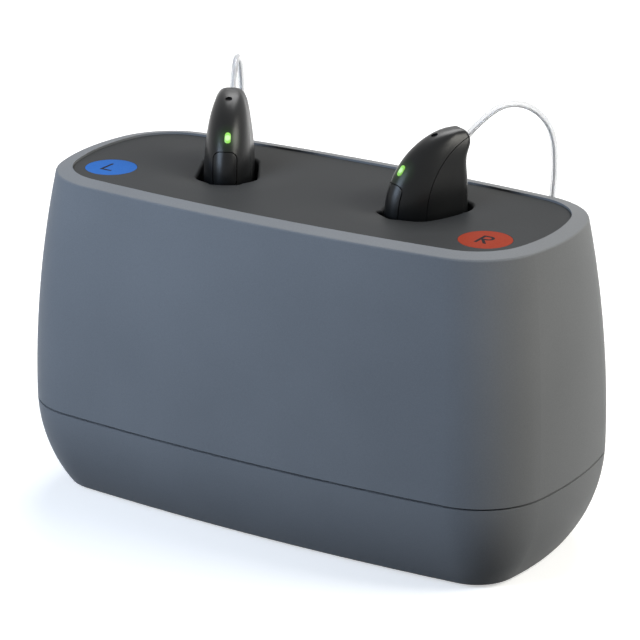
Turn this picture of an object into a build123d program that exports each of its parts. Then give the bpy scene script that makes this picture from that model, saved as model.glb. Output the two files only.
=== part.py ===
from build123d import *
import os
from math import acos, asin, atan2, cos, degrees, pi, radians, sin, sqrt, tan

os.makedirs("parts", exist_ok=True)

# Charger for two hearing aids, in millimetres.
# X runs along the housing from the left pocket to the right one, -Y is the front, Z is up.
# The origin is on the table, under the middle of the housing.

# Housing outline at its widest line
housing_length = 92.0
housing_depth = 42.6
corner_radius = 11.8
front_bow = 1.4
end_bow = 0.7

# Housing heights above the table
foot_height = 0.4
base_top_z = 14.7
seam_height = 0.35
widest_z = 16.0
rim_z = 52.2

# How the outside wall curves in above and below its widest line
rim_lean = 2.75
base_wall_radius = 26.0
base_edge_radius = 1.0

# Rim, ledge and walls
wall = 1.8
floor_thickness = 2.0
rim_width = 2.6
rim_rise = 0.5
rim_edge_radius = 0.35
ledge_width = 1.4
ledge_thickness = 1.4
tongue_gap = 0.15
tongue_width = 1.2
tongue_height = 2.2
tongue_root = 2.0
tongue_overlap = 1.0
seam_depth = 0.6

# Deck plate
deck_z = 52.4
deck_thickness = 2.2
deck_gap = 0.15
dish_radius = 13.0
dish_depth = 1.1

# Where the two pockets are and how they are turned
pocket_x = 17.5
pocket_y = 2.0
pocket_turn = 28.0
pocket_depth = 17.0
pocket_gap = 0.4
pocket_back_gap = 1.3
pocket_back_radius = 2.9
pocket_shoulder_gap = 0.95
pocket_shoulder_radius = 2.6
pocket_nose_gap = 0.5
pocket_nose_length = 1.3
pocket_nose_half_width = 2.0
pocket_nose_splay = 0.5
pocket_nose_radius = 0.5
pocket_bow_length = 3.1
pocket_lip = 0.5
cup_wall = 1.1
cup_floor = 1.2

# Side marks
disc_diameter = 8.1
disc_thickness = 0.6
disc_gap = 0.05
disc_from_end = 12.6
disc_from_front = 14.2
letter_height = 3.4
letter_width = 2.1
letter_stroke = 0.48
letter_depth = 0.25
letter_bowl_radius = 0.95
letter_leg_width = 0.58

# Housing screws and their posts
post_from_end = 12.0
post_from_side = 13.1
post_diameter = 6.0
boss_height = 9.5
boss_web = 1.6
housing_screw_diameter = 2.5
housing_screw_length = 16.0
housing_head_diameter = 4.4
housing_head_height = 1.6
counterbore_depth = 3.0

# Deck screws and their bosses
deck_boss_from_end = 18.0
deck_boss_from_side = 10.7
deck_boss_diameter = 4.8
deck_boss_length = 2.8
ear_thickness = 2.0
ear_width = 6.0
deck_screw_diameter = 2.0
deck_screw_length = 5.0
deck_head_diameter = 3.6
deck_head_height = 1.3

# Clearances on the diameter of every screw, the free end of a blind hole and the drive recess
thread_clearance = 0.1
shank_clearance = 0.4
head_clearance = 0.6
blind_end = 0.3
drive_margin = 0.25

# Coils, ferrites and the plate that holds them
coil_diameter = 10.4
coil_bore = 4.0
coil_thickness = 1.2
ferrite_margin = 0.1
ferrite_thickness = 0.8
carrier_length = 58.0
carrier_front = 5.6
carrier_back = 9.0
carrier_thickness = 1.6
lug_diameter = 4.4
lug_overlap = 0.6
lug_height = 7.0
lug_roof = 1.0
carrier_screw_diameter = 1.8
carrier_screw_length = 5.5
carrier_head_diameter = 3.4
carrier_head_height = 1.2
lead_width = 3.0
lead_thickness = 0.25
lead_foot = 2.6
lead_gap = 0.3

# Circuit board, its parts and its posts
board_z = 9.0
board_thickness = 1.6
board_post_gap = 5.0
board_from_side = 9.3
board_corner = 1.5
standoff_from_end = 4.0
standoff_from_side = 13.3
standoff_diameter = 5.0
board_screw_diameter = 1.9
board_screw_length = 6.0
board_head_diameter = 3.6
board_head_height = 1.3

# Parts on the circuit board
controller_size = 7.0
controller_height = 1.0
controller_y = -3.0
driver_size = 4.0
driver_height = 0.9
driver_x = 9.5
driver_y = -2.5
inductor_size = 5.0
inductor_height = 3.0
inductor_y = 5.5
capacitor_diameter = 4.0
capacitor_height = 4.5
capacitor_x = 3.5
capacitor_y = 12.5

# Power inlet, a socket for a flat oval plug
inlet_width = 8.9
inlet_height = 3.2
inlet_length = 7.3
inlet_skin = 0.3
inlet_back_wall = 1.0
inlet_tongue_width = 6.7
inlet_tongue_height = 0.7
inlet_tongue_setback = 0.8
inlet_recess = 0.3
inlet_overhang = 2.3
port_gap = 0.25

# Ballast and foot pad
ballast_post_gap = 2.0
ballast_from_side = 10.3
ballast_inlet_gap = 1.2
ballast_standoff_gap = 0.3
ballast_thickness = 4.0
plate_corner = 3.0
pad_margin = 1.8
pad_recess = 0.5

# Hearing aid body, in its own frame: S to the spine, T across, Z up from its lowest point
aid_height = 28.35
aid_half_width = 3.8
aid_waist_drop = 13.35
aid_taper = 1.8
aid_crown = 3.4
aid_crown_drop = 4.1
aid_foot_height = 9.0
aid_foot_round = 4.5
aid_foot_centre = 0.2
aid_foot_flat = 0.1
aid_tip_flat = 0.05
aid_back = 6.4
aid_front = 6.3
aid_spine_radius = 12.2
aid_neck_drop = 4.15
aid_tip_height = 2.5
aid_tip_overhang = 0.9
aid_tip_round = 1.3
aid_tip_round_height = 1.5
aid_back_corner_share = 0.4
aid_shell = 0.75
aid_sole = 1.25
aid_roof = 2.2
aid_rest_gap = 0.1
aid_body_steps = 5
aid_hollow_steps = 3

# How far a cutter reaches past what it cuts
cut_spare = 1.0

# Seam between the hearing aid's two shells, upright below the drop and round above it
shell_seam_radius = 11.5
shell_seam_s = 1.4
shell_seam_drop = 12.15
shell_seam_gap = 0.1

# Light, microphone and button of the hearing aid, each at a drop below the tip
light_drop = 5.2
light_offset = 0.35
light_width = 0.95
light_length = 1.75
light_depth = 2.2
light_gap = 0.03
port_drop = 0.65
port_diameter = 1.1
port_depth = 3.0
mesh_thickness = 0.15
mesh_recess = 0.3
microphone_length = 3.0
microphone_width = 2.2
microphone_height = 1.1
microphone_s = -3.0
button_drop = 10.05
button_width = 3.6
button_length = 5.6
button_corner = 1.2
button_gap = 0.12
button_travel = 0.3
button_stud_diameter = 1.2
button_stud_gap = 0.05
switch_width = 1.6
switch_height = 2.0
switch_setback = 0.9

# Inside of the hearing aid
inner_gap = 0.1
cell_diameter = 7.8
cell_thickness = 4.0
cell_s = -0.4
cell_clearance = 0.05
receive_coil_diameter = 3.4
receive_coil_bore = 1.4
receive_coil_thickness = 0.8
aid_board_thickness = 0.6
aid_board_back = 4.6
aid_board_front = 2.4
aid_board_step_drop = 7.35
aid_board_top_front = -1.0

# Wire socket, receiver tube, receiver and dome
socket_diameter = 1.9
socket_length = 2.4
socket_gap = 0.05
tube_diameter = 1.0
tube_bend_share = 0.45
receiver_diameter = 2.8
receiver_length = 6.5
receiver_round = 0.6
dome_diameter = 8.0
dome_length = 4.6
dome_skin = 0.6
dome_neck_diameter = 4.0
dome_overlap = 2.4
dome_gap = 0.05
dome_rim_height = 0.4
dome_inside_drop = 2.2
dome_shoulder_drop = 1.2
dome_shoulder_radius = 3.2

# Route of the receiver tube in the hearing aid's own plane, as the way behind and above its tip.
# It starts at the socket's mouth, arches over the back rim and runs down behind the housing.
tube_route = [
    (0.10, -2.05),
    (4.80, 2.20),
    (11.00, 2.20),
    (16.00, -2.15),
    (16.90, -8.45),
    (16.30, -15.35),
    (16.60, -23.25),
    (17.70, -30.65),
]

# Values that follow from the ones above
seam_z = base_top_z + seam_height
ledge_z = deck_z - deck_thickness
ledge_bottom_z = ledge_z - ledge_thickness
floor_z = foot_height + floor_thickness
pocket_floor_z = deck_z - pocket_depth
cup_bottom_z = pocket_floor_z - cup_floor
coil_z = cup_bottom_z - coil_thickness
ferrite_z = coil_z - ferrite_thickness
carrier_z = ferrite_z - carrier_thickness
board_top_z = board_z + board_thickness
inlet_z = board_z - inlet_height / 2
deck_boss_z = ledge_z - deck_boss_length
ear_z = deck_boss_z - ear_thickness
aid_z = pocket_floor_z + aid_rest_gap
pocket_back = aid_back + pocket_back_gap
pocket_back_half = aid_half_width + pocket_gap
pocket_shoulder_half = aid_half_width + pocket_shoulder_gap
pocket_nose = aid_front + pocket_nose_gap
pocket_nose_root = pocket_nose - pocket_nose_length
pocket_nose_root_half = pocket_nose_half_width + pocket_nose_splay
pocket_shoulder = aid_front - pocket_bow_length
lug_reach = pocket_shoulder_half + cup_wall + lug_diameter / 2 - lug_overlap
ferrite_diameter = coil_diameter + 2 * ferrite_margin
disc_x = housing_length / 2 - disc_from_end
disc_y = disc_from_front - housing_depth / 2
post_x = housing_length / 2 - post_from_end
post_y = housing_depth / 2 - post_from_side
board_end = post_x - post_diameter / 2 - board_post_gap
board_front = housing_depth / 2 - board_from_side
standoff_x = board_end - standoff_from_end
standoff_y = housing_depth / 2 - standoff_from_side
ballast_end = post_x - post_diameter / 2 - ballast_post_gap
ballast_front = housing_depth / 2 - ballast_from_side
deck_boss_x = housing_length / 2 - deck_boss_from_end
deck_boss_y = housing_depth / 2 - deck_boss_from_side
aid_crown_z = aid_height - aid_crown_drop
aid_waist_z = aid_height - aid_waist_drop
aid_neck_z = aid_height - aid_neck_drop
aid_tip_round_z = aid_height - aid_tip_round_height
aid_roof_z = aid_height - aid_roof
aid_board_step_z = aid_height - aid_board_step_drop
shell_seam_z = aid_height - shell_seam_drop
light_z = aid_height - light_drop
port_z = aid_height - port_drop
button_z = aid_height - button_drop
upper_wall_radius = ((rim_z - widest_z) ** 2 + rim_lean**2) / (2 * rim_lean)
spine_centre_s = aid_front - aid_spine_radius
spine_centre_z = aid_height - aid_spine_radius

sides = {"left": -1, "right": 1}


def arc_inset(radius, rise):
    """How far an arc leaves its tangent line over a rise."""
    return radius - sqrt(radius**2 - rise**2)


def wall_inset(z):
    """How far the outside wall stands in from its widest line at a height."""
    if z >= widest_z:
        return arc_inset(upper_wall_radius, z - widest_z)
    return arc_inset(base_wall_radius, widest_z - z)


def unit(x, y):
    size = sqrt(x * x + y * y)
    return x / size, y / size


def housing_outline(z, inward=0.0):
    """The housing's outline at a height, as a face: four bowed sides and four round corners.

    inward moves it in from the outside wall.
    """
    inset = wall_inset(z)
    corner = corner_radius if z >= widest_z else corner_radius - inset
    reach_x = housing_length / 2 - inset - corner
    reach_y = housing_depth / 2 - inset - corner
    corner_x = reach_x - end_bow
    corner_y = reach_y - front_bow
    long_radius = (corner_x**2 + front_bow**2) / (2 * front_bow)
    short_radius = (corner_y**2 + end_bow**2) / (2 * end_bow)
    long_normal = unit(corner_x, corner_y - reach_y + long_radius)
    short_normal = unit(corner_x - reach_x + short_radius, corner_y)
    middle_normal = unit(long_normal[0] + short_normal[0], long_normal[1] + short_normal[1])
    radius = corner - inward

    def corner_point(normal, side_x, side_y):
        x = corner_x + radius * normal[0]
        y = corner_y + radius * normal[1]
        return (side_x * x, side_y * y, z)

    edges = []
    for side_x, side_y in ((1, -1), (1, 1), (-1, 1), (-1, -1)):
        ends = [corner_point(normal, side_x, side_y) for normal in (long_normal, middle_normal, short_normal)]
        if side_x * side_y > 0:
            ends.reverse()
        edges.append(ThreePointArc(*ends))
    side_middles = [
        (reach_x + radius, 0, z),
        (0, reach_y + radius, z),
        (-reach_x - radius, 0, z),
        (0, -reach_y - radius, z),
    ]
    outline = []
    for number, edge in enumerate(edges):
        following = edges[(number + 1) % len(edges)]
        outline.append(edge)
        outline.append(ThreePointArc(edge @ 1, side_middles[number], following @ 0))
    return make_face(outline)


def housing_body(bottom, top, inward=0.0, steps=5):
    """The solid inside the housing's wall between two heights."""
    heights = [bottom + (top - bottom) * step / steps for step in range(steps + 1)]
    return loft([housing_outline(z, inward) for z in heights])


def slab(face, height):
    """A flat face pushed straight up."""
    return extrude(face, height, dir=(0, 0, 1))


def rod(diameter, bottom, top, x=0.0, y=0.0):
    """An upright cylinder between two heights."""
    centre = Pos(x, y, (bottom + top) / 2)
    return centre * Cylinder(diameter / 2, top - bottom)


def block(low, high):
    """A box between two corners."""
    size = [b - a for a, b in zip(low, high)]
    middle = [(a + b) / 2 for a, b in zip(low, high)]
    return Pos(*middle) * Box(*size)


def four_corners(x, y):
    return [(side_x * x, side_y * y) for side_x in (-1, 1) for side_y in (-1, 1)]


def screw(head_diameter, head_height, shank_diameter, shank_length, x, y, seat_z):
    """A pan-head screw that points up, with the underside of its head at seat_z."""
    head = rod(head_diameter, seat_z - head_height, seat_z, x, y)
    shank = rod(shank_diameter, seat_z, seat_z + shank_length, x, y)
    recess = rod(shank_diameter - 2 * drive_margin, seat_z - head_height, seat_z - head_height / 2, x, y)
    return head + shank - recess


def pocket_place(side):
    """The frame of one pocket at the deck: X to the spine of its hearing aid, Y across."""
    return Pos(side * pocket_x, pocket_y, deck_z) * Rot(0, 0, -90 - side * pocket_turn)


def pocket_outline(grow=0.0):
    """An egg-shaped opening with a short splayed nose, as a face at zero height."""
    half = [
        (-pocket_back - grow, pocket_back_half + grow, pocket_back_radius + grow),
        (pocket_shoulder + grow / 2, pocket_shoulder_half + grow, pocket_shoulder_radius + grow),
        (pocket_nose_root + grow, pocket_nose_root_half + grow, pocket_nose_radius),
        (pocket_nose + grow, pocket_nose_half_width + grow, pocket_nose_radius + grow / 2),
    ]
    corners = half + [(s, -t, radius) for s, t, radius in reversed(half)]
    points = [(s, t) for s, t, radius in corners]
    radii = [radius for s, t, radius in corners]
    return make_face(FilletPolyline(*points, radius=radii, close=True))


# Upper housing: a sleeve with a sloped rim, a ledge for the deck, four screw bosses and four ears
def boss_with_web(x, y, diameter, bottom, top, thickness):
    """A boss joined to the long wall beside it."""
    side = 1 if y > 0 else -1
    web_end = side * housing_depth / 2
    low = (x - thickness / 2, min(y, web_end), bottom)
    high = (x + thickness / 2, max(y, web_end), top)
    return rod(diameter, bottom, top, x, y) + block(low, high)


def make_upper_housing():
    outside = housing_body(seam_z, rim_z)
    rim_inner = housing_outline(rim_z, rim_width)
    crown = loft([housing_outline(rim_z), Pos(0, 0, rim_rise) * rim_inner], ruled=True)
    shell = outside + crown
    shell -= housing_body(seam_z, ledge_bottom_z, wall)
    ledge_hole = housing_outline(rim_z, rim_width + ledge_width)
    shell -= Pos(0, 0, ledge_bottom_z - rim_z) * slab(ledge_hole, ledge_thickness)
    shell -= Pos(0, 0, ledge_z - rim_z) * slab(rim_inner, deck_thickness + rim_rise)
    rim_edges = [edge for edge in shell.edges() if abs(edge.center().Z - rim_z) < 0.01]
    shell = fillet(rim_edges, rim_edge_radius)
    inner_limit = housing_body(base_top_z, ledge_bottom_z, wall / 2)
    for x, y in four_corners(post_x, post_y):
        web_z = base_top_z + tongue_height + tongue_gap
        boss = boss_with_web(x, y, post_diameter, web_z, seam_z + boss_height, boss_web)
        shell += boss & inner_limit
        shell += rod(post_diameter, base_top_z, web_z, x, y)
        shell -= rod(housing_screw_diameter + thread_clearance, base_top_z, seam_z + boss_height, x, y)
    for x, y in four_corners(deck_boss_x, deck_boss_y):
        ear = boss_with_web(x, y, ear_width, ear_z, deck_boss_z, ear_width)
        shell += ear & inner_limit
        shell -= rod(deck_screw_diameter + shank_clearance, ear_z, deck_boss_z, x, y)
    return shell


# Base housing: a tray with a tongue that enters the sleeve, screw posts and board posts
def make_base_housing():
    tray = housing_body(foot_height, base_top_z)
    bottom_edges = [edge for edge in tray.edges() if abs(edge.center().Z - foot_height) < 0.01]
    tray = fillet(bottom_edges, base_edge_radius)
    tray -= housing_body(floor_z, base_top_z, wall)
    tongue_outside = wall + tongue_gap
    tongue_inside = tongue_outside + tongue_width
    root = slab(housing_outline(base_top_z, tongue_overlap), tongue_root)
    tongue = Pos(0, 0, tongue_root) * slab(housing_outline(base_top_z, tongue_outside), tongue_height)
    opening = slab(housing_outline(base_top_z, tongue_inside), tongue_root + tongue_height)
    tray += Pos(0, 0, -tongue_root) * (root + tongue - opening)
    seat_z = foot_height + counterbore_depth
    for x, y in four_corners(post_x, post_y):
        tray += rod(post_diameter, floor_z, base_top_z, x, y)
        tray -= rod(housing_head_diameter + head_clearance, foot_height, seat_z, x, y)
        tray -= rod(housing_screw_diameter + shank_clearance, seat_z, base_top_z, x, y)
    for x, y in four_corners(standoff_x, standoff_y):
        tray += rod(standoff_diameter, floor_z, board_z, x, y)
        hole_z = board_top_z - board_screw_length
        tray -= rod(board_screw_diameter + thread_clearance, hole_z, board_z, x, y)
    tray -= Pos(0, 0, foot_height) * slab(pad_outline(), pad_recess)
    return tray - inlet_body(port_gap, housing_depth)


def pad_outline():
    """The foot pad's outline, at zero height."""
    return Pos(0, 0, -foot_height) * housing_outline(foot_height, pad_margin)


def make_foot_pad():
    return slab(pad_outline(), foot_height + pad_recess)


def make_seam_gasket():
    ring = housing_outline(base_top_z, seam_depth) - housing_outline(base_top_z, wall)
    return slab(ring, seam_height)


# Deck plate with a shallow dish and an opening at each pocket
def dish_cutter():
    """A round hollow with a soft edge: a hollow arc in the middle that turns into a rounded lip."""
    half_radius = dish_radius / 2
    half_depth = dish_depth / 2
    arc_radius = (half_radius**2 + half_depth**2) / dish_depth
    share = half_radius / 2
    low_drop = arc_inset(arc_radius, share)
    profile = [
        ThreePointArc((0, -dish_depth), (share, low_drop - dish_depth), (half_radius, -half_depth)),
        ThreePointArc((half_radius, -half_depth), (dish_radius - share, -low_drop), (dish_radius, 0)),
        Polyline((dish_radius, 0), (dish_radius, dish_depth), (0, dish_depth), (0, -dish_depth)),
    ]
    return revolve(Plane.XZ * make_face(profile), Axis.Z)


def opening_edges(deck, side):
    """The upper edges of a pocket's opening in the deck."""
    rim = (pocket_place(side) * pocket_outline()).wires()[0]
    lowest = deck_z - dish_depth - dish_depth / 10
    found = []
    for edge in deck.edges():
        middle = edge @ 0.5
        if middle.Z > lowest and rim.distance_to(Vertex(middle.X, middle.Y, deck_z)) < 0.01:
            found.append(edge)
    return found


def make_top_deck():
    deck = housing_outline(rim_z, rim_width + deck_gap)
    deck = Pos(0, 0, ledge_z - rim_z) * slab(deck, deck_thickness)
    for x, y in four_corners(deck_boss_x, deck_boss_y):
        deck += rod(deck_boss_diameter, deck_boss_z, ledge_z, x, y)
        hole_top = ear_z + deck_screw_length + blind_end
        deck -= rod(deck_screw_diameter + thread_clearance, deck_boss_z, hole_top, x, y)
    for side in sides.values():
        place = pocket_place(side)
        deck -= place * dish_cutter()
        deck -= place * Pos(0, 0, -deck_thickness) * slab(pocket_outline(), deck_thickness)
        deck = fillet(opening_edges(deck, side), pocket_lip)
        disc_hole = disc_diameter + 2 * disc_gap
        deck -= rod(disc_hole, deck_z - disc_thickness, deck_z, side * disc_x, disc_y)
    return deck


def make_pocket_cup(side):
    """A deep liner below the deck, with two lugs for the carrier's screws."""
    place = pocket_place(side)
    outside = Pos(0, 0, cup_bottom_z - deck_z) * slab(pocket_outline(cup_wall), ledge_z - cup_bottom_z)
    for across in (-lug_reach, lug_reach):
        outside += rod(lug_diameter, ferrite_z - deck_z, ferrite_z - deck_z + lug_height, 0, across)
    outside -= Pos(0, 0, -pocket_depth) * slab(pocket_outline(), pocket_depth)
    hole_bottom = ferrite_z - deck_z
    hole_top = hole_bottom + lug_height - lug_roof
    for across in (-lug_reach, lug_reach):
        outside -= rod(carrier_screw_diameter + thread_clearance, hole_bottom, hole_top, 0, across)
    return place * outside


# Side marks: a coloured disc with a letter let into it
def letter_face(letter):
    """A plain upright capital, centred, as a face at zero height."""
    left = -letter_width / 2
    bottom = -letter_height / 2
    stem = Pos(left + letter_stroke / 2, 0) * Rectangle(letter_stroke, letter_height)
    if letter == "L":
        return stem + Pos(0, bottom + letter_stroke / 2) * Rectangle(letter_width, letter_stroke)
    bowl_y = letter_height / 2 - letter_bowl_radius
    bowl_x = letter_width / 2 - letter_bowl_radius
    bowl_middle = (left + bowl_x) / 2
    bowl = Pos(bowl_x, bowl_y) * Circle(letter_bowl_radius)
    bowl += Pos(bowl_middle, bowl_y) * Rectangle(bowl_x - left, 2 * letter_bowl_radius)
    hollow_radius = letter_bowl_radius - letter_stroke
    bowl -= Pos(bowl_x, bowl_y) * Circle(hollow_radius)
    bowl -= Pos(bowl_middle, bowl_y) * Rectangle(bowl_x - left, 2 * hollow_radius)
    leg_top = bowl_y - hollow_radius - letter_stroke / 2
    leg = make_face(Polyline(
        (bowl_middle - letter_leg_width / 2, leg_top),
        (bowl_middle + letter_leg_width / 2, leg_top),
        (letter_width / 2, bottom),
        (letter_width / 2 - letter_leg_width, bottom),
        close=True,
    ))
    return stem + bowl + leg


def make_letter(side, letter):
    place = Pos(side * disc_x, disc_y, deck_z - letter_depth)
    return place * slab(letter_face(letter), letter_depth)


def make_disc(side, letter):
    disc = rod(disc_diameter, deck_z - disc_thickness, deck_z, side * disc_x, disc_y)
    return disc - make_letter(side, letter)


# Coils under the pockets, the plate that holds them and their flat leads
def make_charging_coil(side):
    place = Pos(side * pocket_x, pocket_y)
    return place * (rod(coil_diameter, coil_z, cup_bottom_z) - rod(coil_bore, coil_z, cup_bottom_z))


def make_ferrite(side):
    return Pos(side * pocket_x, pocket_y) * rod(ferrite_diameter, ferrite_z, coil_z)


def lug_places():
    """Where the carrier's screws are, as X and Y."""
    places = []
    for side in sides.values():
        for across in (-lug_reach, lug_reach):
            spot = pocket_place(side) * Pos(0, across, 0)
            places.append((spot.position.X, spot.position.Y))
    return places


def make_coil_carrier():
    plate = block(
        (-carrier_length / 2, -carrier_front, carrier_z),
        (carrier_length / 2, carrier_back, ferrite_z),
    )
    plate = fillet(plate.edges().filter_by(Axis.Z), plate_corner)
    for x, y in lug_places():
        plate -= rod(carrier_screw_diameter + shank_clearance, carrier_z, ferrite_z, x, y)
    return plate


def make_coil_lead(side):
    """A flat lead from the ferrite's edge over the carrier's front edge down to the board."""
    middle = side * pocket_x
    left = middle - lead_width / 2
    right = middle + lead_width / 2
    start_y = pocket_y - ferrite_diameter / 2
    drop_y = -carrier_front - lead_gap
    lead = block((left, drop_y - lead_thickness, ferrite_z), (right, start_y, ferrite_z + lead_thickness))
    lead += block((left, drop_y - lead_thickness, board_top_z), (right, drop_y, ferrite_z + lead_thickness))
    lead += block((left, drop_y - lead_foot, board_top_z), (right, drop_y, board_top_z + lead_thickness))
    return lead


# Circuit board with its chips, and the power inlet below its back edge
def make_main_board():
    board_back = inlet_back_y() + inlet_length - inlet_overhang
    board = block((-board_end, -board_front, board_z), (board_end, board_back, board_top_z))
    board = fillet(board.edges().filter_by(Axis.Z), board_corner)
    for x, y in four_corners(standoff_x, standoff_y):
        board -= rod(board_screw_diameter + shank_clearance, board_z, board_top_z, x, y)
    return board


def chip(size, height, x, y):
    """A square chip that stands on the board."""
    low = (x - size / 2, y - size / 2, board_top_z)
    high = (x + size / 2, y + size / 2, board_top_z + height)
    return block(low, high)


def make_board_chips():
    """Controller, two coil drivers, two inductors and two capacitors, standing on the board."""
    chips = chip(controller_size, controller_height, 0, controller_y)
    capacitor_top_z = board_top_z + capacitor_height
    for side in sides.values():
        chips += chip(driver_size, driver_height, side * driver_x, driver_y)
        chips += chip(inductor_size, inductor_height, side * driver_x, inductor_y)
        chips += rod(capacitor_diameter, board_top_z, capacitor_top_z, side * capacitor_x, capacitor_y)
    return chips


def inlet_body(grow, length):
    """A flat oval bar along Y at the inlet's place, made larger all round by grow."""
    outline = SlotOverall(inlet_width + 2 * grow, inlet_height + 2 * grow)
    bar = extrude(Plane.XZ * outline, -length)
    return Pos(0, inlet_back_y(), inlet_z) * bar


def inlet_back_y():
    return housing_depth / 2 - wall_inset(inlet_z) - inlet_recess - inlet_length


def make_power_inlet():
    inner = inlet_body(-inlet_skin, inlet_length)
    socket = inlet_body(0, inlet_length) - Pos(0, inlet_back_wall, 0) * inner
    tongue_back_y = inlet_back_y()
    tongue_front_y = tongue_back_y + inlet_length - inlet_tongue_setback
    tongue = block(
        (-inlet_tongue_width / 2, tongue_back_y, inlet_z - inlet_tongue_height / 2),
        (inlet_tongue_width / 2, tongue_front_y, inlet_z + inlet_tongue_height / 2),
    )
    return socket + tongue


def make_ballast():
    top_z = floor_z + ballast_thickness
    ballast_back = inlet_back_y() - ballast_inlet_gap
    plate = block((-ballast_end, -ballast_front, floor_z), (ballast_end, ballast_back, top_z))
    plate = fillet(plate.edges().filter_by(Axis.Z), plate_corner)
    for x, y in four_corners(standoff_x, standoff_y):
        plate -= rod(standoff_diameter + 2 * ballast_standoff_gap, floor_z, top_z, x, y)
    return plate


# Screws, each group as separate solids in one piece list
def make_housing_screws():
    seat_z = foot_height + counterbore_depth
    return Compound([
        screw(housing_head_diameter, housing_head_height, housing_screw_diameter,
              housing_screw_length, x, y, seat_z)
        for x, y in four_corners(post_x, post_y)
    ])


def make_deck_screws():
    return Compound([
        screw(deck_head_diameter, deck_head_height, deck_screw_diameter, deck_screw_length, x, y, ear_z)
        for x, y in four_corners(deck_boss_x, deck_boss_y)
    ])


def make_carrier_screws():
    return Compound([
        screw(carrier_head_diameter, carrier_head_height, carrier_screw_diameter,
              carrier_screw_length, x, y, carrier_z)
        for x, y in lug_places()
    ])


def make_board_screws():
    """These point down, so each is a screw turned over about the board's top."""
    turn = Rot(180, 0, 0)
    upright = screw(board_head_diameter, board_head_height, board_screw_diameter,
                    board_screw_length, 0, 0, 0)
    return Compound([
        Pos(x, y, board_top_z) * turn * upright
        for x, y in four_corners(standoff_x, standoff_y)
    ])


# Hearing aid body, as sections at heights above its lowest point
def spine_s(z):
    """The front of the hearing aid at a height: an upright, a great arc above, a round foot below."""
    if z > spine_centre_z:
        return spine_centre_s + sqrt(aid_spine_radius**2 - (z - spine_centre_z) ** 2)
    if z < aid_foot_height:
        drop = (aid_foot_height - z) / aid_foot_height
        return aid_foot_centre + (aid_front - aid_foot_centre) * sqrt(1 - drop**2)
    return aid_front


def back_s(z):
    """The back of the hearing aid at a height, with the tip that stands out over the neck."""
    if z < aid_foot_height:
        drop = (aid_foot_height - z) / aid_foot_height
        return aid_foot_centre - (aid_back + aid_foot_centre) * sqrt(1 - drop**2)
    if z > aid_neck_z:
        rise = min(1.0, (z - aid_neck_z) / aid_tip_height)
        back = -aid_back - aid_tip_overhang * (1 - cos(pi * rise)) / 2
        round_rise = max(0.0, (z - aid_tip_round_z) / aid_tip_round_height)
        return back + aid_tip_round * (1 - sqrt(1 - round_rise**2))
    return -aid_back


def half_width(z):
    """Half the hearing aid's width at a height."""
    if z < aid_foot_round:
        drop = (aid_foot_round - z) / aid_foot_round
        return aid_half_width * sqrt(1 - drop**2)
    if z > aid_waist_z:
        share = (z - aid_waist_z) / aid_waist_drop
        return aid_half_width * (1 - share**aid_taper) ** (1 / aid_crown)
    return aid_half_width


def aid_section(z, skin=0.0):
    """One level section: a flat back with round corners and a half-oval front."""
    front = spine_s(z) - skin
    back = back_s(z) + skin
    side = half_width(z) - skin
    middle = (front + back) / 2
    corner = side * aid_back_corner_share
    front_arc = EllipticalCenterArc((middle, 0), front - middle, side, start_angle=-90, arc_size=180)
    outline = [
        Line((back, -side + corner, z), (back, side - corner, z)),
        Pos(0, 0, z) * CenterArc((back + corner, side - corner), corner, 180, -90),
        Line((back + corner, side, z), (middle, side, z)),
        Pos(0, 0, z) * front_arc,
        Line((middle, -side, z), (back + corner, -side, z)),
        Pos(0, 0, z) * CenterArc((back + corner, -side + corner), corner, 270, -90),
    ]
    return make_face(outline)


def section_heights(bottom, top, steps):
    """Heights of the sections, closer together where the foot and the tip round off."""
    start = acos(1 - bottom / aid_foot_height)
    end = asin((top - aid_crown_z) / (aid_height - aid_crown_z))
    heights = []
    for step in range(steps):
        turn = start + (pi / 2 - start) * step / steps
        heights.append(aid_foot_height * (1 - cos(turn)))
    for step in range(steps + 1):
        heights.append(aid_foot_height + (aid_crown_z - aid_foot_height) * step / steps)
    for step in range(1, steps + 1):
        heights.append(aid_crown_z + (aid_height - aid_crown_z) * sin(end * step / steps))
    return heights


def aid_body():
    """The hearing aid's outer form."""
    heights = section_heights(aid_foot_flat, aid_height - aid_tip_flat, aid_body_steps)
    return loft([aid_section(z) for z in heights])


def aid_hollow():
    """The space inside the hearing aid's shells."""
    heights = section_heights(aid_sole, aid_roof_z, aid_hollow_steps)
    return loft([aid_section(z, aid_shell) for z in heights])


def upright_plane_slab(face, half):
    """A face drawn in S and Z, pushed out to both sides across T."""
    return extrude(Plane.XZ * face, half, both=True)


def rear_region(gap):
    """What lies behind the shell seam, made larger by gap."""
    radius = shell_seam_radius + gap
    behind = aid_back + aid_tip_overhang + cut_spare
    circle = Pos(shell_seam_s - shell_seam_radius, shell_seam_z) * Circle(radius)
    rectangle = Pos((shell_seam_s + gap - behind) / 2, (shell_seam_z - cut_spare) / 2)
    rectangle = rectangle * Rectangle(shell_seam_s + gap + behind, shell_seam_z + cut_spare)
    return upright_plane_slab(circle + rectangle, aid_half_width + cut_spare)


def spine_place(z):
    """A frame on the spine at a height, with its Z straight out of the surface."""
    tilt = asin((z - spine_centre_z) / aid_spine_radius)
    return Pos(spine_s(z), 0, z) * Rot(0, 90 - degrees(tilt), 0)


def light_prism(gap=0.0):
    outline = Pos(0, light_offset, -light_depth) * SlotOverall(light_length + 2 * gap, light_width + 2 * gap)
    return spine_place(light_z) * extrude(outline, light_depth + cut_spare)


def port_prism(low, high, diameter):
    return spine_place(port_z) * rod(diameter, low, high)


def button_prism(gap=0.0):
    outline = RectangleRounded(button_width + 2 * gap, button_length + 2 * gap, button_corner + gap)
    start = Plane(origin=(aid_board_front, 0, button_z), x_dir=(0, 1, 0), z_dir=(1, 0, 0))
    return extrude(start * outline, aid_front + cut_spare - aid_board_front)


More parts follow.
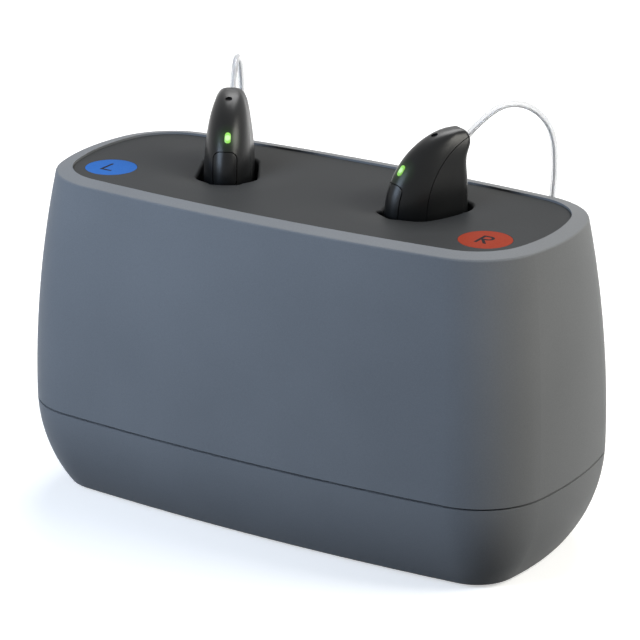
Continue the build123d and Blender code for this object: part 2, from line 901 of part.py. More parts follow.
def switch_front():
    return spine_s(button_z) - aid_shell - switch_setback


def button_stud():
    """A short stud behind the button that meets the switch at the end of its travel."""
    low = switch_front() + button_travel + button_stud_gap
    high = spine_s(button_z) - aid_shell / 2
    stud = rod(button_stud_diameter, low, high)
    return Pos(0, 0, button_z) * Rot(0, 90, 0) * stud


def tube_points():
    """The tube's route in the hearing aid's frame, as S and Z."""
    tip_s = -aid_back - aid_tip_overhang
    return [(tip_s - behind, aid_height + above) for behind, above in tube_route]


def socket_place():
    """A frame at the socket's mouth, with its Z out along the start of the tube."""
    (s0, z0), (s1, z1) = tube_points()[:2]
    run = atan2(s1 - s0, z1 - z0)
    return Pos(s0, 0, z0) * Rot(0, degrees(run), 0)


def receiver_place():
    """A frame at the end of the tube, with its Z on along the tube."""
    (s0, z0), (s1, z1) = tube_points()[-2:]
    run = atan2(s1 - s0, z1 - z0)
    return Pos(s1, 0, z1) * Rot(0, degrees(run), 0)


def make_aid_shells():
    """The spine cover with its openings and the rear shell, from one hollow body."""
    shell = aid_body() - aid_hollow()
    shell -= socket_place() * rod(socket_diameter + 2 * socket_gap, -socket_length - cut_spare, cut_spare)
    cover = shell - rear_region(shell_seam_gap)
    rear = shell & rear_region(0)
    cover -= light_prism(light_gap)
    cover -= port_prism(-port_depth, cut_spare, port_diameter)
    cover -= button_prism(button_gap)
    button = (shell & button_prism()) + button_stud()
    return cover, rear, button


def make_aid_board():
    top_z = aid_roof_z - inner_gap - microphone_height
    bottom_z = cell_top_z() + inner_gap
    outline = make_face(Polyline(
        (-aid_board_back, bottom_z),
        (aid_board_front, bottom_z),
        (aid_board_front, aid_board_step_z),
        (aid_board_top_front, top_z),
        (-aid_board_back, top_z),
        close=True,
    ))
    return upright_plane_slab(outline, aid_board_thickness / 2)


def receive_coil_z():
    return aid_sole + cell_clearance


def cell_bottom_z():
    return receive_coil_z() + receive_coil_thickness + cell_clearance


def cell_top_z():
    return cell_bottom_z() + cell_diameter


def make_cell():
    outline = Pos(cell_s, cell_bottom_z() + cell_diameter / 2) * Circle(cell_diameter / 2)
    return upright_plane_slab(outline, cell_thickness / 2)


def make_receive_coil():
    bottom = receive_coil_z()
    top = bottom + receive_coil_thickness
    ring = rod(receive_coil_diameter, bottom, top) - rod(receive_coil_bore, bottom, top)
    return Pos(aid_foot_centre, 0, 0) * ring


def make_microphone():
    top = aid_roof_z - inner_gap
    return block(
        (microphone_s - microphone_length / 2, -microphone_width / 2, top - microphone_height),
        (microphone_s + microphone_length / 2, microphone_width / 2, top),
    )


def make_switch():
    return block(
        (aid_board_front, -switch_width / 2, button_z - switch_height / 2),
        (switch_front(), switch_width / 2, button_z + switch_height / 2),
    )


def tube_path():
    """Straight runs joined by the largest arcs that the runs allow."""
    points = [Vector(s, 0, z) for s, z in tube_points()]
    radii = []
    for before, here, after in zip(points, points[1:], points[2:]):
        half_turn = radians((here - before).get_angle(after - here)) / 2
        shorter = min((here - before).length, (after - here).length)
        radii.append(tube_bend_share * shorter / tan(half_turn))
    return FilletPolyline(*points, radius=radii)


def make_tube():
    path = tube_path()
    start = Plane(origin=path @ 0, z_dir=path % 0)
    tube = sweep(start * Circle(tube_diameter / 2), path)
    print("tube length", round(path.length, 1))
    return tube


def make_receiver():
    body = rod(receiver_diameter, 0, receiver_length)
    body = fillet(body.edges().filter_by(GeomType.CIRCLE), receiver_round)
    return receiver_place() * body


def make_dome():
    """A soft open cap on the receiver's end, its rim turned back over the receiver."""
    radius = dome_diameter / 2
    neck = dome_neck_diameter / 2
    bore = receiver_diameter / 2 + dome_gap
    base = receiver_length - dome_overlap
    rim = base + dome_rim_height
    tip = base + dome_length
    inside = tip - dome_inside_drop
    shoulder = (dome_shoulder_radius, tip - dome_shoulder_drop)
    outer = [
        Line((bore, base), (neck, base)),
        Line((neck, base), (neck, inside)),
        Line((neck, inside), (radius - dome_skin, rim)),
        Line((radius - dome_skin, rim), (radius, rim)),
        ThreePointArc((radius, rim), shoulder, (bore, tip)),
        Line((bore, tip), (bore, base)),
    ]
    return receiver_place() * revolve(Plane.XZ * make_face(outer), Axis.Z)


def aid_pieces():
    """Every piece of a hearing aid in its own frame, by name."""
    cover, rear, button = make_aid_shells()
    return {
        "spine_cover": cover,
        "rear_shell": rear,
        "push_button": button,
        "light_pipe": aid_body() & light_prism(),
        "microphone_mesh": port_prism(-mesh_recess - mesh_thickness, -mesh_recess, port_diameter),
        "microphone": make_microphone(),
        "aid_board": make_aid_board(),
        "button_switch": make_switch(),
        "battery": make_cell(),
        "receive_coil": make_receive_coil(),
        "wire_socket": socket_place() * rod(socket_diameter, -socket_length, 0),
        "receiver_tube": make_tube(),
        "receiver": make_receiver(),
        "dome": make_dome(),
    }


pieces = {
    "upper_housing": make_upper_housing(),
    "base_housing": make_base_housing(),
    "seam_gasket": make_seam_gasket(),
    "foot_pad": make_foot_pad(),
    "top_deck": make_top_deck(),
    "coil_carrier": make_coil_carrier(),
    "main_board": make_main_board(),
    "board_chips": make_board_chips(),
    "power_inlet": make_power_inlet(),
    "ballast_plate": make_ballast(),
    "housing_screws": make_housing_screws(),
    "deck_screws": make_deck_screws(),
    "carrier_screws": make_carrier_screws(),
    "board_screws": make_board_screws(),
}

aid = aid_pieces()
letters = {"left": "L", "right": "R"}
for name, side in sides.items():
    pieces[name + "_pocket_cup"] = make_pocket_cup(side)
    pieces[name + "_disc"] = make_disc(side, letters[name])
    pieces[name + "_letter"] = make_letter(side, letters[name])
    pieces[name + "_charging_coil"] = make_charging_coil(side)
    pieces[name + "_ferrite"] = make_ferrite(side)
    pieces[name + "_coil_lead"] = make_coil_lead(side)
    aid_place = pocket_place(side) * Pos(0, 0, aid_z - deck_z)
    for piece, shape in aid.items():
        pieces[name + "_" + piece] = aid_place * shape

for node, shape in pieces.items():
    export_step(shape, "parts/" + node + ".step")
print("pieces", len(pieces))
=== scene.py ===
import math

import bpy
from mathutils import Matrix, Vector


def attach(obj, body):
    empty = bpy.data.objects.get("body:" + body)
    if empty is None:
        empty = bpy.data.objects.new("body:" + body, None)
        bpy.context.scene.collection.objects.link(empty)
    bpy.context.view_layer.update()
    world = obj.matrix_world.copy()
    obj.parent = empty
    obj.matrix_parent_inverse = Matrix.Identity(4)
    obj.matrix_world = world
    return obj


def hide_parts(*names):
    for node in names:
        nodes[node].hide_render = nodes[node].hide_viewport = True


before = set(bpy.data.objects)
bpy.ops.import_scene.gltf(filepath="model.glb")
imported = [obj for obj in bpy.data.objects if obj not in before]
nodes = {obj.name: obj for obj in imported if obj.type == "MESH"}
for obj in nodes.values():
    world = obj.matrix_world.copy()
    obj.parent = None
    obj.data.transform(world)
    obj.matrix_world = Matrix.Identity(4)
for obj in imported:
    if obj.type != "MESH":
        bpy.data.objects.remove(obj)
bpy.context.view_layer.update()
mm = 0.001
smoothDegrees = 35
poleInset = 0.4  # share of a round cap's radius that its inner ring lies inside the edge
sides = {"left": -1, "right": 1}
print("frame loaded, nodes:", len(nodes))


# Small helpers for selecting and finishing a piece
def objectMode():
    if bpy.context.object and bpy.context.object.mode != "OBJECT":
        bpy.ops.object.mode_set(mode="OBJECT")


def pickOnly(piece):
    objectMode()
    bpy.ops.object.select_all(action="DESELECT")
    piece.select_set(True)
    bpy.context.view_layer.objects.active = piece


def editOnly(piece, kind, test):  # edit mode, with just the faces or vertices that pass selected
    pickOnly(piece)
    bpy.ops.object.mode_set(mode="EDIT")
    bpy.ops.mesh.select_mode(type=kind)
    bpy.ops.mesh.select_all(action="DESELECT")
    bpy.ops.object.mode_set(mode="OBJECT")
    for part in piece.data.polygons if kind == "FACE" else piece.data.vertices:
        part.select = test(part)
    bpy.ops.object.mode_set(mode="EDIT")


def settle(piece, name, place=None):  # ends at the origin, with its place in its mesh
    pickOnly(piece)
    bpy.ops.object.transform_apply(location=True, rotation=True, scale=True)
    if place is not None:
        piece.data.transform(place)
    bpy.ops.object.shade_smooth_by_angle(angle=math.radians(smoothDegrees))
    piece.name = name
    piece.data.name = name
    return piece


def copyTo(piece, name):  # a copy with its own mesh
    twin = piece.copy()
    twin.data = piece.data.copy()
    bpy.context.scene.collection.objects.link(twin)
    twin.name = name
    twin.data.name = name
    return twin


# A turned piece from rings of (radius, height) in mm, each extruded from the one before
def ringStack(rings, count, closeStart=True, closeEnd=True):
    objectMode()
    bpy.ops.object.select_all(action="DESELECT")
    radius, height = rings[0]
    bpy.ops.mesh.primitive_circle_add(vertices=count, radius=radius * mm, location=(0, 0, height * mm))
    piece = bpy.context.object
    bpy.ops.object.transform_apply(location=True, rotation=False, scale=False)
    bpy.ops.object.mode_set(mode="EDIT")
    bpy.ops.mesh.select_all(action="SELECT")
    if closeStart:
        bpy.ops.mesh.edge_face_add()
        bpy.ops.mesh.inset(thickness=radius * mm * poleInset)
        bpy.ops.object.mode_set(mode="OBJECT")
        edge = [v.co.xy.length > radius * mm * (1 - poleInset / 2) for v in piece.data.vertices]
        editOnly(piece, "VERT", lambda v: edge[v.index])
    before = radius
    for radius, nextHeight in rings[1:]:
        bpy.ops.mesh.extrude_region_move(TRANSFORM_OT_translate={"value": (0, 0, (nextHeight - height) * mm)})
        share = radius / before
        bpy.ops.transform.resize(value=(share, share, 1), center_override=(0, 0, nextHeight * mm))
        before, height = radius, nextHeight
    if closeEnd:
        bpy.ops.mesh.edge_face_add()
        bpy.ops.mesh.inset(thickness=before * mm * poleInset)
    bpy.ops.mesh.select_all(action="SELECT")
    bpy.ops.mesh.normals_make_consistent(inside=False)
    bpy.ops.object.mode_set(mode="OBJECT")
    return piece


# Camera at the photograph's viewing angle
cameraSettings = {
    "position": (0.23831, -0.38492, 0.19587),
    "target": (0.00072, 0.0, 0.03140),
    "lens": 174.44,
    "sensor": 36,
    "nearest": 0.01,
    "farthest": 20,
    "rollDegrees": 0.213,
}


def makeCamera(settings):
    data = bpy.data.cameras.new("productCamera")
    data.lens = settings["lens"]
    data.sensor_width = settings["sensor"]
    data.clip_start = settings["nearest"]
    data.clip_end = settings["farthest"]
    camera = bpy.data.objects.new("productCamera", data)
    bpy.context.scene.collection.objects.link(camera)
    position = Vector(settings["position"])
    look = (Vector(settings["target"]) - position).to_track_quat("-Z", "Y").to_matrix().to_4x4()
    roll = Matrix.Rotation(math.radians(settings["rollDegrees"]), 4, "Z")
    camera.matrix_world = Matrix.Translation(position) @ look @ roll
    bpy.context.scene.camera = camera


makeCamera(cameraSettings)
print("camera placed")


# Receiver tubes: the two cords, each from its hearing aid over the back rim and down behind the housing
tubeSettings = {
    "length": 0.0471,
    "diameter": 0.0010,
    "wireDiameter": 0.00032,
    "wireDrop": 0.00024,
    "steps": 16,
    "roundness": 4,
    "colour": (228, 229, 231),
    "clearness": 0.80,
    "bending": 1.28,
    "rough": (0.12, 0.20),
    "grain": 900,
    "route": [
        (0.020974, 0.008534, 0.06180),
        (0.023181, 0.012684, 0.06605),
        (0.026091, 0.018158, 0.06605),
        (0.028439, 0.022573, 0.06170),
        (0.028861, 0.023367, 0.05540),
        (0.028580, 0.022838, 0.04850),
        (0.028720, 0.023102, 0.04060),
        (0.029237, 0.024074, 0.03320),
    ],
}


def makeTube(name, side, settings, diameter, drop=0.0):
    curve = bpy.data.curves.new(name, "CURVE")
    curve.dimensions = "3D"
    spline = curve.splines.new("NURBS")
    spline.points.add(len(settings["route"]) - 1)
    for point, (x, y, z) in zip(spline.points, settings["route"]):
        point.co = (side * x, y, z - drop, 1)
    spline.order_u = 3
    spline.use_endpoint_u = True
    curve.resolution_u = settings["steps"]
    curve.bevel_depth = diameter / 2
    curve.bevel_resolution = settings["roundness"]
    curve.use_fill_caps = True
    tube = bpy.data.objects.new(name, curve)
    bpy.context.scene.collection.objects.link(tube)
    return tube


tubes = {}
wires = {}
for name, side in sides.items():
    tubes[name] = makeTube(name + "ClearTube", side, tubeSettings, tubeSettings["diameter"])
    wires[name] = makeTube(name + "TubeWire", side, tubeSettings, tubeSettings["wireDiameter"],
                           tubeSettings["wireDrop"])
print("tubes laid")


# Materials. Every one reads Object coordinates, so a pattern stays with its piece
def addNode(tree, kind, **sockets):
    node = tree.nodes.new("ShaderNode" + kind)
    for socket, value in sockets.items():
        node.inputs[socket.replace("_", " ")].default_value = value
    return node


def startMaterial(name):
    material = bpy.data.materials.new(name)
    material.use_nodes = True
    tree = material.node_tree
    coords = tree.nodes.new("ShaderNodeTexCoord").outputs["Object"]
    return material, tree, tree.nodes["Principled BSDF"], coords


def addNoise(tree, coords, scale, detail=3.0, rough=0.55, stretch=None):
    if stretch is not None:
        mapping = addNode(tree, "Mapping", Scale=stretch)
        tree.links.new(coords, mapping.inputs["Vector"])
        coords = mapping.outputs["Vector"]
    noise = addNode(tree, "TexNoise", Scale=scale, Detail=detail, Roughness=rough)
    tree.links.new(coords, noise.inputs["Vector"])
    return noise.outputs["Fac"]


def addRamp(tree, factor, stops):
    ramp = tree.nodes.new("ShaderNodeValToRGB")
    while len(ramp.color_ramp.elements) < len(stops):
        ramp.color_ramp.elements.new(0.5)
    for element, (position, colour) in zip(ramp.color_ramp.elements, stops):
        element.position = position
        element.color = (*colour, 1)
    tree.links.new(factor, ramp.inputs["Fac"])
    return ramp.outputs["Color"]


def addRange(tree, value, low, high, fromLow=0.3, fromHigh=0.7):
    reach = addNode(tree, "MapRange", From_Min=fromLow, From_Max=fromHigh, To_Min=low, To_Max=high)
    tree.links.new(value, reach.inputs["Value"])
    return reach.outputs["Result"]


def distanceFrom(tree, coords, point):
    reach = addNode(tree, "VectorMath")
    reach.operation = "DISTANCE"
    reach.inputs[1].default_value = point
    tree.links.new(coords, reach.inputs[0])
    return reach.outputs["Value"]


def addBump(tree, shader, height, distance, strength=1.0):
    bump = addNode(tree, "Bump", Distance=distance, Strength=strength)
    tree.links.new(height, bump.inputs["Height"])
    tree.links.new(bump.outputs["Normal"], shader.inputs["Normal"])
    return bump


def fromScreen(*colour):  # red, green and blue as a screen shows them, 0 to 255, made linear
    return tuple(((c / 255 + 0.055) / 1.055) ** 2.4 if c > 10 else c / 255 / 12.92 for c in colour)


grainShare = 0.5
toneStops = (0.35, 0.65)


def grainFinish(name, settings):  # moulded or painted surface: two tones, cloudy roughness, fine grain
    material, tree, shader, coords = startMaterial(name)
    fine = addNoise(tree, coords, settings["grain"], stretch=settings.get("stretch"))
    cloud = addNoise(tree, coords, settings.get("cloud", 60), detail=2)
    blend = addNode(tree, "Math")
    blend.operation = "MULTIPLY_ADD"
    blend.inputs[1].default_value = grainShare
    halfCloud = addNode(tree, "Math")
    halfCloud.operation = "MULTIPLY"
    halfCloud.inputs[1].default_value = 1 - grainShare
    tree.links.new(cloud, halfCloud.inputs[0])
    tree.links.new(fine, blend.inputs[0])
    tree.links.new(halfCloud.outputs[0], blend.inputs[2])
    tones = (fromScreen(*settings["dark"]), fromScreen(*settings["light"]))
    colour = addRamp(tree, blend.outputs[0], list(zip(toneStops, tones)))
    tree.links.new(colour, shader.inputs["Base Color"])
    low, high = settings["rough"]
    tree.links.new(addRange(tree, cloud, low, high), shader.inputs["Roughness"])
    addBump(tree, shader, fine, settings["depth"], settings.get("bump", 0.5))
    shader.inputs["Metallic"].default_value = settings.get("metal", 0.0)
    shader.inputs["Specular IOR Level"].default_value = settings.get("specular", 0.5)
    shader.inputs["Coat Weight"].default_value = settings.get("coat", 0.0)
    shader.inputs["Coat Roughness"].default_value = settings.get("coatRough", 0.1)
    return material


finishes = {
    "housingPaint": {"dark": (116, 118, 121), "light": (124, 126, 129), "grain": 5200, "cloud": 45,
                     "rough": (0.40, 0.46), "depth": 0.00002, "bump": 0.25, "specular": 0.03},
    "deckPaint": {"dark": (50, 51, 52), "light": (58, 59, 60), "grain": 4200, "cloud": 60,
                  "rough": (0.42, 0.50), "depth": 0.00003, "bump": 0.4, "specular": 0.03},
    "cupPlastic": {"dark": (30, 31, 33), "light": (36, 37, 39), "grain": 2600,
                   "rough": (0.26, 0.34), "depth": 0.00002, "specular": 0.3},
    "blueMark": {"dark": (40, 94, 170), "light": (48, 104, 180), "grain": 3600,
                 "rough": (0.45, 0.55), "depth": 0.00001, "specular": 0.02},
    "redMark": {"dark": (142, 50, 30), "light": (152, 58, 38), "grain": 3600,
                "rough": (0.45, 0.55), "depth": 0.00001, "specular": 0.02},
    "letterInk": {"dark": (22, 22, 26), "light": (30, 30, 34), "grain": 4000,
                  "rough": (0.45, 0.55), "depth": 0.00001, "specular": 0.02},
    "darkRubber": {"dark": (30, 30, 31), "light": (40, 40, 41), "grain": 1800,
                   "rough": (0.70, 0.85), "depth": 0.00004, "specular": 0.3},
    "whiteNylon": {"dark": (196, 194, 186), "light": (212, 210, 202), "grain": 1400,
                   "rough": (0.45, 0.60), "depth": 0.00003},
    "boardLacquer": {"dark": (18, 74, 48), "light": (28, 96, 62), "grain": 900,
                     "rough": (0.25, 0.38), "depth": 0.00002, "coat": 0.4},
    "chipEpoxy": {"dark": (28, 28, 30), "light": (38, 38, 40), "grain": 3200,
                  "rough": (0.50, 0.62), "depth": 0.00002},
    "zincSteel": {"dark": (150, 152, 156), "light": (176, 178, 182), "grain": 700, "stretch": (1, 14, 1),
                  "rough": (0.28, 0.42), "depth": 0.00001, "metal": 1.0},
    "screwSteel": {"dark": (120, 121, 124), "light": (150, 151, 154), "grain": 2400,
                   "rough": (0.25, 0.36), "depth": 0.00001, "metal": 1.0},
    "windingCopper": {"dark": (150, 84, 48), "light": (186, 110, 66), "grain": 5200,
                      "rough": (0.28, 0.40), "depth": 0.00004, "metal": 1.0},
    "ferriteCeramic": {"dark": (48, 46, 46), "light": (62, 60, 60), "grain": 2600,
                       "rough": (0.55, 0.70), "depth": 0.00003},
    "amberFilm": {"dark": (150, 88, 22), "light": (176, 108, 34), "grain": 1200,
                  "rough": (0.20, 0.32), "depth": 0.00001, "coat": 0.5},
    "greyCan": {"dark": (128, 130, 134), "light": (158, 160, 164), "grain": 2800,
                "rough": (0.30, 0.44), "depth": 0.00001, "metal": 1.0},
    "socketPlastic": {"dark": (26, 27, 28), "light": (34, 35, 36), "grain": 5000,
                      "rough": (0.35, 0.45), "depth": 0.00001},
    "receiverPlastic": {"dark": (96, 98, 102), "light": (112, 114, 118), "grain": 4200,
                        "rough": (0.32, 0.42), "depth": 0.00001, "coat": 0.2},
    "tubeWire": {"dark": (188, 188, 190), "light": (206, 206, 208), "grain": 3800,
                 "rough": (0.35, 0.50), "depth": 0.00001, "specular": 0.3},
}
made = {name: grainFinish(name, settings) for name, settings in finishes.items()}

wears = {
    "housingPaint": ["upper_housing", "base_housing"],
    "deckPaint": ["top_deck"],
    "cupPlastic": ["left_pocket_cup", "right_pocket_cup"],
    "blueMark": ["left_disc"],
    "redMark": ["right_disc"],
    "letterInk": ["left_letter", "right_letter"],
    "darkRubber": ["seam_gasket", "foot_pad"],
    "whiteNylon": ["coil_carrier"],
    "boardLacquer": ["main_board", "left_aid_board", "right_aid_board"],
    "chipEpoxy": ["board_chips", "left_button_switch", "right_button_switch"],
    "zincSteel": ["ballast_plate", "power_inlet"],
    "screwSteel": ["housing_screws", "deck_screws", "carrier_screws", "board_screws"],
    "windingCopper": ["left_charging_coil", "right_charging_coil", "left_receive_coil", "right_receive_coil"],
    "ferriteCeramic": ["left_ferrite", "right_ferrite"],
    "amberFilm": ["left_coil_lead", "right_coil_lead"],
    "greyCan": ["left_microphone", "right_microphone", "left_battery", "right_battery"],
    "socketPlastic": ["left_wire_socket", "right_wire_socket"],
}


def dress(piece, material):
    piece.data.materials.clear()
    piece.data.materials.append(material)


for finish, wearers in wears.items():
    for node in wearers:
        dress(nodes[node], made[finish])
print("plain finishes given")


# Floor, light and background
stageSettings = {
    "floorSize": 6.0,
    "floorSeen": (0.80, 0.80, 0.80),
    "floorLift": 0.50,
    "liftFull": 0.9,
    "liftFrom": 0.25,
    "liftTo": 0.90,
    "floorBounce": (0.10, 0.10, 0.10),
    "worldAmbient": (0.12, 0.12, 0.12),
}


def backgroundFactor(tree):  # 1 for what the camera sees straight, in gloss or through glass
    path = tree.nodes.new("ShaderNodeLightPath")
    both = addNode(tree, "Math")
    both.operation = "MAXIMUM"
    tree.links.new(path.outputs["Is Camera Ray"], both.inputs[0])
    tree.links.new(path.outputs["Is Glossy Ray"], both.inputs[1])
    everything = addNode(tree, "Math")
    everything.operation = "MAXIMUM"
    tree.links.new(both.outputs[0], everything.inputs[0])
    tree.links.new(path.outputs["Is Transmission Ray"], everything.inputs[1])
    return everything.outputs[0]


def makeFloor(settings):
    bpy.ops.object.select_all(action="DESELECT")
    bpy.ops.mesh.primitive_plane_add(size=settings["floorSize"], location=(0, 0, 0))
    floor = bpy.context.object
    material = bpy.data.materials.new("paleSweep")
    material.use_nodes = True
    tree = material.node_tree
    tree.nodes.clear()
    out = tree.nodes.new("ShaderNodeOutputMaterial")
    seen = addNode(tree, "BsdfDiffuse", Color=(*settings["floorSeen"], 1))
    lift = addNode(tree, "Emission", Color=(1, 1, 1, 1))
    coords = tree.nodes.new("ShaderNodeTexCoord").outputs["Object"]
    far = distanceFrom(tree, coords, (0, 0, 0))
    fade = addRange(tree, far, settings["floorLift"], settings["liftFull"],
                    settings["liftFrom"], settings["liftTo"])
    tree.links.new(fade, lift.inputs["Strength"])
    bounce = addNode(tree, "BsdfDiffuse", Color=(*settings["floorBounce"], 1))
    both = tree.nodes.new("ShaderNodeAddShader")
    mix = tree.nodes.new("ShaderNodeMixShader")
    tree.links.new(seen.outputs[0], both.inputs[0])
    tree.links.new(lift.outputs[0], both.inputs[1])
    tree.links.new(backgroundFactor(tree), mix.inputs[0])
    tree.links.new(bounce.outputs[0], mix.inputs[1])
    tree.links.new(both.outputs[0], mix.inputs[2])
    tree.links.new(mix.outputs[0], out.inputs["Surface"])
    dress(floor, material)
    settle(floor, "floor")


def makeWorld(settings):
    world = bpy.data.worlds.new("studio")
    bpy.context.scene.world = world
    world.use_nodes = True
    tree = world.node_tree
    tree.nodes.clear()
    out = tree.nodes.new("ShaderNodeOutputWorld")
    ambient = addNode(tree, "Background", Color=(*settings["worldAmbient"], 1), Strength=1.0)
    white = addNode(tree, "Background", Color=(1, 1, 1, 1), Strength=1.0)
    mix = tree.nodes.new("ShaderNodeMixShader")
    tree.links.new(backgroundFactor(tree), mix.inputs[0])
    tree.links.new(ambient.outputs[0], mix.inputs[1])
    tree.links.new(white.outputs[0], mix.inputs[2])
    tree.links.new(mix.outputs[0], out.inputs["Surface"])


lampAim = (0, 0, 0.03)
lamps = [
    {"name": "topSoftbox", "place": (-0.15, 0.42, 0.62), "size": (0.42, 0.34), "watts": 3.2,
     "colour": (1.0, 1.0, 1.0)},
    {"name": "frontSoftbox", "place": (-0.085, -0.20, 0.13), "size": (0.12, 0.12), "watts": 0.47,
     "colour": (0.64, 0.79, 1.0)},
    {"name": "sideSoftbox", "place": (0.50, 0.16, 0.38), "size": (0.30, 0.35), "watts": 3.5,
     "colour": (1.0, 0.98, 0.90)},
]


def makeLamp(settings):
    data = bpy.data.lights.new(settings["name"], "AREA")
    data.shape = "RECTANGLE"
    data.size, data.size_y = settings["size"]
    data.energy = settings["watts"]
    data.color = settings["colour"]
    lamp = bpy.data.objects.new(settings["name"], data)
    bpy.context.scene.collection.objects.link(lamp)
    place = Vector(settings["place"])
    toward = Vector(lampAim) - place
    lamp.matrix_world = Matrix.Translation(place) @ toward.to_track_quat("-Z", "Y").to_matrix().to_4x4()
    lamp.visible_camera = False


makeFloor(stageSettings)
makeWorld(stageSettings)
for lamp in lamps:
    makeLamp(lamp)
bpy.context.scene.view_settings.view_transform = "Standard"
print("floor, world and lamps set")


# Places on a hearing aid, in mm in its own frame: S to the spine, T across, Z up
aidSettings = {
    "pocket": (17.5, 2.0, 35.5),
    "turnDegrees": 28.0,
    "height": 28.35,
    "front": 6.3,
    "spineRadius": 12.2,
}


def aidPlace(side, settings):
    x, y, z = settings["pocket"]
    turn = Matrix.Rotation(math.radians(-90 - side * settings["turnDegrees"]), 4, "Z")
    return Matrix.Translation(Vector((side * x, y, z)) * mm) @ turn


def spineFrame(side, height, settings):  # on the spine at a height, with Z straight out of the surface
    radius = settings["spineRadius"]
    tilt = math.asin((height - settings["height"] + radius) / radius)
    along = settings["front"] - radius + radius * math.cos(tilt)
    spot = Matrix.Translation(Vector((along, 0, height)) * mm)
    return aidPlace(side, settings) @ spot @ Matrix.Rotation(math.pi / 2 - tilt, 4, "Y")


# Charging light: a green capsule lens let into the spine, and its glow painted on the shell around it
lightSettings = {
    "height": 23.15,
    "offset": 0.35,
    "length": 1.75,
    "width": 0.93,
    "depth": 0.5,
    "dome": 0.04,
    "domeTaper": (0.9, 0.8, 1),
    "inset": 0.18,
    "corners": 24,
    "core": (196, 232, 160),
    "edge": (140, 205, 84),
    "coreReach": 0.35,
    "edgeReach": 0.62,
    "strength": 0.4,
    "rough": 0.3,
    "ripple": 3000,
    "rippleDepth": 0.000005,
    "rippleStrength": 0.3,
    "glow": (34, 66, 14),
    "glowMiddle": 0.2,
    "glowFrom": 0.4,
    "glowReach": 2.5,
}


def makeLens(settings):
    width = settings["width"] * mm
    run = (settings["length"] - settings["width"]) / 2 * mm
    ring = (settings["width"] / 2, -settings["depth"])
    piece = ringStack([ring], settings["corners"], closeStart=False, closeEnd=False)
    for end in (-1, 1):
        editOnly(piece, "VERT", lambda v: v.co.x * end > width / 100)
        bpy.ops.transform.translate(value=(end * run, 0, 0))
    bpy.ops.mesh.select_all(action="SELECT")
    bpy.ops.mesh.extrude_region_move(TRANSFORM_OT_translate={"value": (0, 0, settings["depth"] * mm)})
    bpy.ops.mesh.extrude_region_move(TRANSFORM_OT_translate={"value": (0, 0, settings["dome"] * mm)})
    bpy.ops.transform.resize(value=settings["domeTaper"])
    bpy.ops.mesh.edge_face_add()
    bpy.ops.mesh.inset(thickness=width * settings["inset"])
    bpy.ops.mesh.select_all(action="SELECT")
    bpy.ops.mesh.normals_make_consistent(inside=False)
    bpy.ops.object.mode_set(mode="OBJECT")
    return piece


def lensFinish(name, centre, settings):
    material, tree, shader, coords = startMaterial(name)
    near = addRange(tree, distanceFrom(tree, coords, centre), 0.0, 1.0, 0.0, settings["length"] / 2 * mm)
    stops = [(settings["coreReach"], fromScreen(*settings["core"])),
             (settings["edgeReach"], fromScreen(*settings["edge"]))]
    colour = addRamp(tree, near, stops)
    tree.links.new(colour, shader.inputs["Base Color"])
    tree.links.new(colour, shader.inputs["Emission Color"])
    shader.inputs["Emission Strength"].default_value = settings["strength"]
    shader.inputs["Roughness"].default_value = settings["rough"]
    ripple = addNoise(tree, coords, settings["ripple"])
    addBump(tree, shader, ripple, settings["rippleDepth"], settings["rippleStrength"])
    return material


# Hearing aid shells: near-black gloss, with the light's glow painted where it falls
aidFinish = {"dark": (10, 11, 12), "light": (14, 15, 16), "grain": 6400, "cloud": 180,
             "rough": (0.28, 0.34), "depth": 0.000004, "bump": 0.3, "specular": 0.24}


# painted glow: green emission on the shell, strongest near the lens and fading with distance, standing in for
# the light falling on the shell
def addGlow(material, centre, settings):
    tree = material.node_tree
    shader = tree.nodes["Principled BSDF"]
    coords = tree.nodes["Texture Coordinate"].outputs["Object"]
    far = distanceFrom(tree, coords, centre)
    near = addRange(tree, far, 1.0, 0.0, settings["glowFrom"] * mm, settings["glowReach"] * mm)
    full = fromScreen(*settings["glow"])
    middle = tuple(c * settings["glowMiddle"] for c in full)
    colour = addRamp(tree, near, [(0.0, (0, 0, 0)), (0.5, middle), (1.0, full)])
    tree.links.new(colour, shader.inputs["Emission Color"])
    shader.inputs["Emission Strength"].default_value = 1.0


lens = makeLens(lightSettings)
for name, side in sides.items():
    shift = Matrix.Translation((0, lightSettings["offset"] * mm, 0))
    place = spineFrame(side, lightSettings["height"], aidSettings) @ shift
    centre = place.translation
    cover = grainFinish(name + "CoverShell", aidFinish)
    addGlow(cover, centre, lightSettings)
    dress(nodes[name + "_spine_cover"], cover)
    dress(nodes[name + "_rear_shell"], grainFinish(name + "RearShell", aidFinish))
    dress(nodes[name + "_push_button"], grainFinish(name + "Button", aidFinish))
    piece = settle(copyTo(lens, name + "LightLens"), name + "LightLens", place)
    dress(piece, lensFinish(name + "GreenLens", centre, lightSettings))
    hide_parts(name + "_light_pipe")
    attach(piece, name + "_aid")
bpy.data.objects.remove(lens)
print("shells and lights made")


# Microphone port: a disc sunk in the hole of the spine, its piercings painted on as near-black dots, painted
# shade inside the openings
portSettings = {
    "height": 27.7,
    "rings": [(0.54, -0.46), (0.54, -0.30), (0.47, -0.28), (0.44, -0.36)],
    "corners": 28,
    "holes": 9000,
    "holeShadeStop": (0.25, (0.001, 0.001, 0.001)),
    "meshStop": (0.5, (0.012, 0.012, 0.013)),
    "specular": 0.15,
    "rough": 0.5,
    "depth": 0.00003,
}


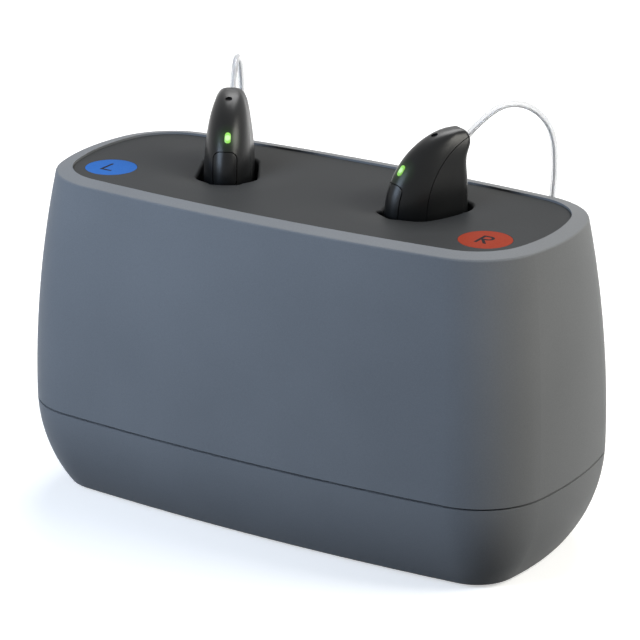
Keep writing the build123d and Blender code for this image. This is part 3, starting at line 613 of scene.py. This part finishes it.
def portFinish(name, settings):
    material, tree, shader, coords = startMaterial(name)
    holes = addNode(tree, "TexVoronoi", Scale=settings["holes"])
    tree.links.new(coords, holes.inputs["Vector"])
    # painted shade: hole cells near black, the mesh threads between them dark grey
    colour = addRamp(tree, holes.outputs["Distance"], [settings["holeShadeStop"], settings["meshStop"]])
    tree.links.new(colour, shader.inputs["Base Color"])
    shader.inputs["Specular IOR Level"].default_value = settings["specular"]
    shader.inputs["Roughness"].default_value = settings["rough"]
    addBump(tree, shader, holes.outputs["Distance"], settings["depth"])
    return material


grille = ringStack(portSettings["rings"], portSettings["corners"])
portMesh = portFinish("portMesh", portSettings)
for name, side in sides.items():
    place = spineFrame(side, portSettings["height"], aidSettings)
    piece = settle(copyTo(grille, name + "PortGrille"), name + "PortGrille", place)
    dress(piece, portMesh)
    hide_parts(name + "_microphone_mesh")
    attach(piece, name + "_aid")
bpy.data.objects.remove(grille)
print("microphone ports made")


# Tubes: clear plastic with a fine wire inside, a grey receiver and a soft dome on the end
domeSettings = {
    "colour": (196, 197, 198),
    "clearness": 0.35,
    "bending": 1.5,
    "rough": (0.38, 0.50),
    "grain": 1500,
    "skin": 5200,
    "skinDepth": 0.00001,
    "skinStrength": 0.3,
}


def clearFinish(name, settings):  # see-through plastic or silicone, with a skin texture if it has one
    material, tree, shader, coords = startMaterial(name)
    shader.inputs["Base Color"].default_value = (*fromScreen(*settings["colour"]), 1)
    shader.inputs["Transmission Weight"].default_value = settings["clearness"]
    shader.inputs["IOR"].default_value = settings["bending"]
    cloud = addNoise(tree, coords, settings["grain"])
    tree.links.new(addRange(tree, cloud, *settings["rough"]), shader.inputs["Roughness"])
    if "skin" in settings:
        skin = addNoise(tree, coords, settings["skin"])
        addBump(tree, shader, skin, settings["skinDepth"], settings["skinStrength"])
    return material


clearTubing = clearFinish("clearTubing", tubeSettings)
domeSilicone = clearFinish("domeSilicone", domeSettings)
for name, side in sides.items():
    tube = tubes[name]
    wire = wires[name]
    dress(tube, clearTubing)
    dress(wire, made["tubeWire"])
    dress(nodes[name + "_receiver"], made["receiverPlastic"])
    dress(nodes[name + "_dome"], domeSilicone)
    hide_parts(name + "_receiver_tube")
    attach(tube, name + "_aid")
    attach(wire, name + "_aid")
print("tubes dressed")
